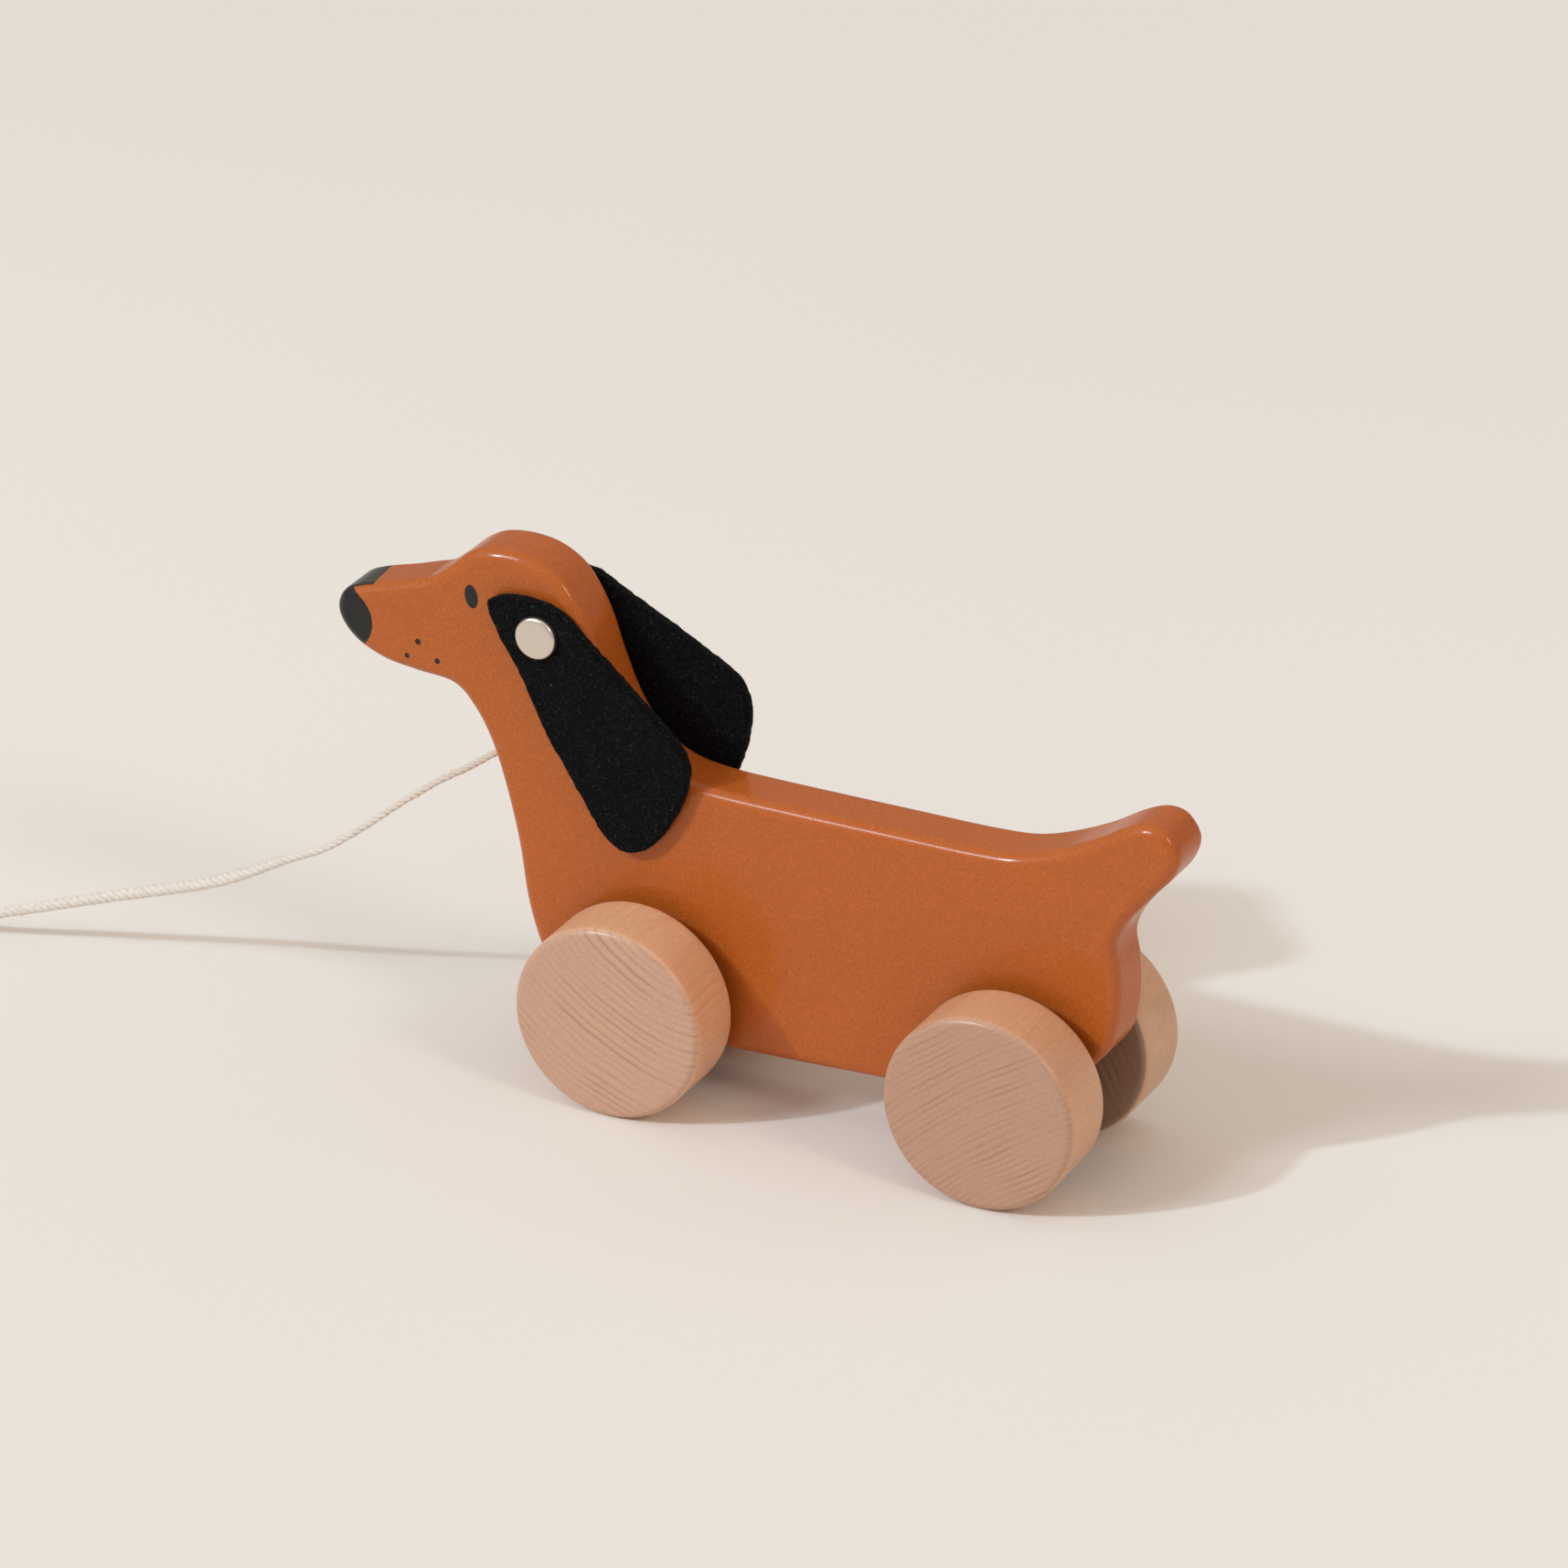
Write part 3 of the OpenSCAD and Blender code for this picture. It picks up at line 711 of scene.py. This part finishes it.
def make_body():
    steps = 8
    outline = smooth_curve(BODY_POINTS, steps, closed=True)
    n = len(outline)
    along = np.concatenate([[0], np.cumsum(np.linalg.norm(np.diff(outline, axis=0), axis=1))])
    mouth = np.array([CORD_EXIT[0], CORD_EXIT[2]])
    near = int(np.argmin(np.linalg.norm(outline - mouth, axis=1)))
    i0, i1 = near - 4, near + 4
    holes = [circle(FRONT_X, WHEEL_R, AXLE_BORE_R), circle(REAR_X, WHEEL_R, AXLE_BORE_R),
             circle(RIVET_X, RIVET_Z, RIVET_BORE_R, 32)]
    pts, nrm, faces = plate(outline, BODY_T, BODY_EDGE_R, 7, holes, skip=(i0, i1))
    # The chest wall round the cord's hole, filled in the wall's own (length, thickness) space
    flat = BODY_T / 2 - BODY_EDGE_R
    span = list(range(i0, i1 + 1))
    low, high = [7 * n + i for i in span], [8 * n + i for i in reversed(span)]
    border = [(along[i], -flat) for i in span] + [(along[i], flat) for i in reversed(span)]
    s0 = along[near] + (mouth - outline[near]) @ unit(outline[near + 1] - outline[near - 1])
    ring = circle(s0, 0, CORD_HOLE_R, 32)
    _, tris = fill(np.array(border), [ring])
    slope = math.radians(CORD_SLOPE)
    way = np.array([math.cos(slope), 0.0, math.sin(slope)])  # into the chest, in (u, w, v) order below
    base = len(pts)
    index = low + high + [base + i for i in range(32)]
    faces += [[index[i] for i in t] for t in tris]
    u = np.interp(ring[:, 0], along, outline[:, 0])
    v = np.interp(ring[:, 0], along, outline[:, 1])
    rim = np.column_stack([u, v, ring[:, 1]])
    d = unit(outline[near + 1] - outline[near - 1])
    wall_n = np.tile([-d[1], d[0], 0.0], (32, 1))
    depth = np.array([way[0], way[2], 0.0]) * CORD_HOLE_DEPTH
    centre = rim.mean(axis=0)
    inward = unit(centre - rim)
    pts = np.concatenate([pts, rim, rim, rim + depth, rim + depth, [centre + depth]])
    nrm = np.concatenate([nrm, wall_n, inward, inward, np.tile(-depth, (33, 1))])
    for i in range(32):
        j = (i + 1) % 32
        faces.append([base + 32 + i, base + 32 + j, base + 64 + j, base + 64 + i])
        faces.append([base + 96 + i, base + 96 + j, base + 128])
    # (u, v, w) is (x, z, y)
    body = add_piece("body_painted", pts[:, [0, 2, 1]], faces, [paint_finish()], "root",
                     normals=nrm[:, [0, 2, 1]])
    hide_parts("body")


make_body()


# ---------------------------------------------------------------- wheels, axles and spacers
# Light and dark wood, across the grain and along it
BEECH_ENDS = ((0.60, 0.350, 0.236), (0.42, 0.222, 0.140))
BEECH_SIDES = ((0.80, 0.455, 0.270), (0.70, 0.372, 0.210))
INNER_SHADE = 0.62  # darkens the faces next to the plank, which the lights leave too bright


def beech_finish(name, centre, pith_angle, pith_far, tint, seed, spacing):
    """Beech sawn across: rings about a pith outside the wheel, flecks and fibres along the axle."""
    f = Finish(name, Specular_IOR_Level=0.45, Coat_Weight=0.6, Coat_Roughness=0.3)
    a = math.radians(pith_angle)
    px, pz = centre[0] + pith_far * math.cos(a), centre[1] + pith_far * math.sin(a)
    wander = (f.noise(0.03, 2) - 0.5) * 4.0 + (f.noise(0.25, 2) - 0.5) * 0.35
    reach = f.size(f.x - px, f.z - pz) + f.y * 0.03 + wander + seed
    beat = f.noise(0.14, 1, vector=f.line(reach)) * 9.0
    wide = f.math("SINE", reach * (2 * math.pi / spacing) + beat) * 0.5 + 0.5
    thin = f.math("SINE", reach * (2 * math.pi / 0.8) + beat * 1.7) * 0.5 + 0.5
    late = wide ** 3.5
    patchy = f.ramp(f.noise(0.06, 2), 0.35, 0.65, 0.3, 1.0)
    patchy = patchy * f.ramp(f.noise(0.4, 1, vector=f.line(reach)), 0.35, 0.6, 0.3, 1.0)
    rings = (late * 0.9 + thin ** 2.0 * 0.25) * patchy
    fleck = f.ramp(f.noise(1.0, 2, 0.6, stretch=(2.6, 0.42, 2.6)), 0.60, 0.74)
    pores = f.ramp(f.noise(4.5, 1, stretch=(1.0, 0.22, 1.0)), 0.60, 0.75)
    cloud = f.noise(0.06, 3)
    fine = f.noise(1.6, 3, 0.7, stretch=(1.0, 0.25, 1.0))
    # End grain on the two faces is duller than the long grain round the rim
    ay = f.math("ABSOLUTE", f.y)
    face = f.math("MAXIMUM", f.ramp(ay, 29.3, 30.5), f.ramp(ay, 12.6, 12.1))
    ends = [tuple(c * t for c, t in zip(col, tint)) for col in BEECH_ENDS]
    sides = [tuple(c * t for c, t in zip(col, tint)) for col in BEECH_SIDES]
    colour = f.mix(rings * 0.95, f.mix(face, sides[0], ends[0]), f.mix(face, sides[1], ends[1]))
    inner = f.ramp(ay, 12.6, 12.1, 1.0, INNER_SHADE)
    colour = f.shade(colour, (cloud * 0.16 + fine * 0.40 + 0.73) * inner)
    colour = f.mix(fleck * 0.22, colour, (0.33, 0.16, 0.085))
    colour = f.mix(pores * 0.16, colour, (0.28, 0.14, 0.08))
    rough = 0.50 + fine * 0.10 + fleck * 0.08
    height = fine * 0.45 - rings * 0.25 - pores * 0.4
    return f.done(colour, rough, f.bump(height, 0.05))


def make_wheel(name, x, side, body, mat):
    e, r, w = WHEEL_EDGE_R, WHEEL_R, WHEEL_W
    profile = [(0.0, HUB_DEPTH), (HUB_R, HUB_DEPTH), (HUB_R, 0.0)]
    profile += [(HUB_R + (r - e - HUB_R) * k / 6, 0.0) for k in range(1, 6)]
    profile += [(r - e + e * math.sin(b), e - e * math.cos(b)) for b in np.linspace(0, math.pi / 2, 9)]
    profile += [(r, e + (w - 2 * e) * k / 6) for k in range(1, 6)]
    profile += [(r - e + e * math.cos(b), w - e + e * math.sin(b))
                for b in np.linspace(0, math.pi / 2, 9)]
    profile += [((r - e) * (1 - k / 6), w) for k in range(1, 7)]
    pts, nrm, faces = lathe(profile, (x, side * WHEEL_IN_Y, r), side)
    wheel = add_piece(name + "_turned", pts, faces, [mat], body, normals=nrm)
    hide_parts(name)


for name, x, side, body, look in (
        ("wheel_front_left", FRONT_X, LEFT, "front_wheels", (62, 62, (0.98, 0.96, 0.94), 0.0, 2.1)),
        ("wheel_front_right", FRONT_X, RIGHT, "front_wheels", (160, 90, (0.98, 0.98, 0.96), 3.1, 2.3)),
        ("wheel_rear_left", REAR_X, LEFT, "rear_wheels", (-54, 170, (0.85, 0.79, 0.76), 1.7, 1.5)),
        # The far rear wheel's darker tint is painted shade
        ("wheel_rear_right", REAR_X, RIGHT, "rear_wheels", (20, 75, (0.80, 0.80, 0.77), 5.2, 2.2))):
    finish = beech_finish("beech_" + name[6:], (x, WHEEL_R), *look)
    make_wheel(name, x, side, body, finish)


def round_wood(name, light, dark, rough):
    f = Finish(name, Specular_IOR_Level=0.4)
    fibre = f.noise(1.5, 3, 0.65, stretch=(1.0, 0.08, 1.0))
    pores = f.ramp(f.noise(3.0, 1, stretch=(1.0, 0.15, 1.0)), 0.6, 0.75)
    colour = f.shade(f.mix(f.ramp(fibre, 0.3, 0.75), light, dark), f.noise(0.1, 2) * 0.2 + 0.88)
    colour = f.mix(pores * 0.25, colour, (0.26, 0.14, 0.08))
    return f.done(colour, fibre * 0.15 + rough, f.bump(fibre, 0.05))


axle_mat = round_wood("axle_birch", (0.60, 0.40, 0.25), (0.50, 0.31, 0.18), 0.5)
spacer_mat = round_wood("spacer_beech", (0.57, 0.345, 0.22), (0.46, 0.26, 0.16), 0.5)


def refinish(node, mat):
    for s in nodes[node].material_slots:
        s.material = mat


for node in ("front_axle", "rear_axle"):
    refinish(node, axle_mat)
for node in ("spacer_front_left", "spacer_front_right", "spacer_rear_left", "spacer_rear_right"):
    refinish(node, spacer_mat)

# ---------------------------------------------------------------- rivet
def metal_finish(name, colour, rough, grit):
    f = Finish(name, Metallic=1.0)
    dent = f.noise(0.55, 2)
    fine = f.noise(5.0, 2, 0.7)
    tone = fine * 0.10 + dent * 0.06 + 0.90
    return f.done(f.shade(colour, tone), fine * 0.12 + rough, f.bump(dent * 1.0 + fine * grit, 0.06))


cap_mat = metal_finish("cap_satin_nickel", (0.76, 0.68, 0.60), 0.27, 0.12)
pin_mat = metal_finish("rivet_steel", (0.62, 0.61, 0.58), 0.33, 0.2)
for node in ("rivet_post", "rivet_socket"):
    refinish(node, pin_mat)


def make_cap(side, body_node):
    r, h, w, rr = CAP_R, CAP_H, CAP_WALL, 0.85
    dome = [(r - rr + rr * math.cos(b), h - 0.3 - rr + rr * math.sin(b))
            for b in np.linspace(0, math.radians(78), 9)]
    edge = dome[-1]
    top = [(edge[0] * (1 - k / 8), edge[1] + (h - edge[1]) * (1 - (1 - k / 8) ** 2)) for k in range(1, 9)]
    inner = [(0.0, h - w)] + [(p[0] * (r - w) / r, p[1] - w) for p in reversed(top[:-1] + [edge])]
    wall = [(r - w, h - 1.6), (r - w, 0.08), (r - w * 0.7, 0.0), (r - 0.12, 0.0), (r, 0.1)]
    profile = inner + wall + dome + top
    pts, nrm, faces = lathe(profile, (RIVET_X, side * CAP_SEAT_Y, RIVET_Z), side, 96)
    cap = add_piece(body_node + "_pressed", pts, faces, [cap_mat], "root", normals=nrm)
    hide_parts(body_node)
    return cap


caps = {LEFT: make_cap(LEFT, "ear_cap_left"), RIGHT: make_cap(RIGHT, "ear_cap_right")}

# ---------------------------------------------------------------- felt ears
FELT_EDGE_R = 0.75


def felt_finish():
    f = Finish("felt", Sheen_Weight=0.05, Sheen_Roughness=0.45, Sheen_Tint=(0.75, 0.77, 0.8, 1.0),
               Specular_IOR_Level=0.06)
    cloud = f.noise(0.12, 3)
    clump = f.noise(1.0, 4, 0.75, warp=1.2)
    fibre_a = f.noise(1.1, 3, 0.7, stretch=(1.0, 1.0, 5.0), warp=2.5)
    fibre_b = f.noise(1.1, 3, 0.7, stretch=(5.0, 1.0, 1.0), warp=2.5)
    strands = f.math("MAXIMUM", f.ramp(fibre_a, 0.58, 0.72), f.ramp(fibre_b, 0.58, 0.72))
    glint = f.ramp(f.noise(1.6, 2, 0.6, warp=2.0), 0.60, 0.70)
    colour = f.mix(strands * 0.8, (0.0016, 0.0016, 0.0017), (0.0210, 0.0214, 0.0222))
    colour = f.mix(glint * 0.85, colour, (0.075, 0.078, 0.082))
    colour = f.shade(colour, cloud * 0.7 + clump * 0.6 + 0.35)
    height = clump * 0.7 + strands * 0.35 + glint * 0.3
    return f.done(colour, f.ramp(clump, 0.2, 0.8, 0.88, 1.0), f.bump(height, 0.35))


def hair_finish():
    f = Finish("felt_hair", Specular_IOR_Level=0.12)
    tone = f.noise(0.9, 2)
    return f.done(f.shade((0.012, 0.0122, 0.0128), f.ramp(tone, 0.3, 0.75, 0.2, 4.5)), tone * 0.2 + 0.75)


felt_mat, hair_mat = felt_finish(), hair_finish()


def make_ear(side, node, body, swing, shift):
    outline = smooth_curve(EAR_POINTS, 6, closed=True) + np.array(shift)
    loop, _ = resample(np.concatenate([outline, outline[:1]]), 0.55)
    loop = loop[:-1]
    # plate wants (u, v) clockwise: u across, v against the ear's length
    flat = np.column_stack([loop[:, 1], -loop[:, 0]])
    area2 = np.sum(flat[:, 0] * np.roll(flat[:, 1], -1) - np.roll(flat[:, 0], -1) * flat[:, 1])
    if area2 > 0:
        flat = flat[::-1]
    pts, nrm, faces = plate(flat, FELT_T, FELT_EDGE_R, 4, [circle(0, 0, RIVET_BORE_R, 24)], grid=0.9, rows=4)
    s, v, w = -pts[:, 1], pts[:, 0], pts[:, 2]
    # Cut felt is uneven: the faces ripple a little and the cut edge is ragged
    ripple = np.array([noise.noise(Vector((a * 0.09, b * 0.09, 3.0 + side))) for a, b in zip(s, v)])
    nap = np.array([noise.noise(Vector((a * 0.9, b * 0.9, c * 0.9 + 7 * side)))
                    for a, b, c in zip(s, v, w)])
    ragged = np.array([noise.noise(Vector((a * 0.55, b * 0.55, c * 0.4 + 5 * side)))
                       for a, b, c in zip(s, v, w)])
    wall = np.abs(nrm[:, 2]) < 0.9
    far = np.clip((np.hypot(s, v) - 5.6) / 3.0, 0, 1)
    ofs = (nap * 0.10 + np.where(wall, ragged * 0.24, 0)) * far
    s = s - nrm[:, 1] * ofs
    v = v + nrm[:, 0] * ofs
    w = w + nrm[:, 2] * ofs
    depth = FELT_IN_Y + FELT_T / 2 + w + (0.12 + 0.2 * ripple) * far
    t = math.radians(swing)
    down, back = np.array([math.sin(t), -math.cos(t)]), np.array([math.cos(t), math.sin(t)])
    xz = np.array([RIVET_X, RIVET_Z]) + s[:, None] * down + v[:, None] * back
    verts = np.column_stack([xz[:, 0], side * depth, xz[:, 1]])
    n_xz = -nrm[:, 1][:, None] * down + nrm[:, 0][:, None] * back
    normals = unit(np.column_stack([n_xz[:, 0], side * nrm[:, 2], n_xz[:, 1]]))
    ear = add_piece(node + "_felt", verts, faces, [felt_mat], body, normals=normals)
    ear.data.normals_split_custom_set_from_vertices([(0, 0, 0)] * len(verts))
    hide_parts(node)

    far_enough = np.hypot(s, v) > 6.4
    usable = [f for f in faces if far_enough[f].all()]
    rim = [f for f in usable if np.abs(nrm[f, 2]).mean() < 0.8]
    base, bn = scatter(verts, normals, usable, 3600, 21 + side)
    base2, bn2 = scatter(verts, normals, rim, 2200, 31 + side)
    a, fa = hairs(base, bn, (0.5, 1.3), 0.016, (0.05, 0.45), 41 + side)
    b, fb = hairs(base2, bn2, (0.35, 0.95), 0.016, (0.3, 1.6), 51 + side)
    hair_faces = fa + [[i + len(a) for i in f] for f in fb]
    hv = np.concatenate([a, b])
    clear = BODY_T / 2 + 0.06
    hv[:, 1] = side * np.maximum(side * hv[:, 1], clear)
    hair = add_piece(node + "_hair", hv, hair_faces, [hair_mat], body)


make_ear(LEFT, "ear_left", "left_ear", LEFT_SWING, (0.0, 0.0))
make_ear(RIGHT, "ear_right", "right_ear", RIGHT_SWING, RIGHT_SHIFT)


# ---------------------------------------------------------------- floor and light
FLOOR_COLOUR, SKY_COLOUR = (0.850, 0.815, 0.765), (1.0, 0.893, 0.80, 1.0)
SKY_LOW, SKY_HIGH = 0.29, 0.78  # strength at the horizon and overhead


def make_floor():
    f = Finish("paper", Specular_IOR_Level=0.15)
    # Broad soft patches of painted light and shade on the paper
    soft = f.noise(0.0022, 1)
    tooth = f.noise(0.35, 3)
    # The paper is darkened a little with distance, to match the fall-off of the light
    tone = soft * 0.04 + tooth * 0.02 + 0.97 - f.ramp(f.y, 50, 650) * 0.06
    mat = f.done(f.shade(FLOOR_COLOUR, tone), tooth * 0.1 + 0.85)
    half = 9.0
    me = bpy.data.meshes.new("floor")
    corners = [(-half, -half, 0), (half, -half, 0), (half, half, 0), (-half, half, 0)]
    me.from_pydata(corners, [], [(0, 1, 2, 3)])
    me.materials.append(mat)
    ob = bpy.data.objects.new("floor", me)
    bpy.context.scene.collection.objects.link(ob)


def make_light():
    world = bpy.data.worlds.new("studio")
    bpy.context.scene.world = world
    world.use_nodes = True
    tree = world.node_tree
    coord, split = tree.nodes.new("ShaderNodeTexCoord"), tree.nodes.new("ShaderNodeSeparateXYZ")
    tree.links.new(coord.outputs["Generated"], split.inputs[0])
    level = tree.nodes.new("ShaderNodeMapRange")
    for key, v in (("From Min", 0.0), ("From Max", 1.0), ("To Min", SKY_LOW), ("To Max", SKY_HIGH)):
        level.inputs[key].default_value = v
    tree.links.new(split.outputs[2], level.inputs["Value"])
    tree.links.new(level.outputs[0], tree.nodes["Background"].inputs[1])
    tree.nodes["Background"].inputs[0].default_value = SKY_COLOUR
    for name, energy, angle, colour, travel in (
            ("key", 1.14, 2.2, (0.66, 0.85, 0.97), (0.955, 1.14, -1.0)),
            ("window", 0.80, 14.0, (0.82, 0.86, 0.92), (0.7, 1.0, -1.0)),
            ("side_light", 0.46, 14.0, (1.0, 0.92, 0.83), (-1.3, 0.4, -1.0))):
        sun = bpy.data.lights.new(name, "SUN")
        sun.energy, sun.angle, sun.color = energy, math.radians(angle), colour
        ob = bpy.data.objects.new(name, sun)
        ob.rotation_euler = Vector(travel).to_track_quat("-Z", "Y").to_euler()
        bpy.context.scene.collection.objects.link(ob)


make_floor()
make_light()
bpy.context.scene.view_settings.view_transform = "Standard"
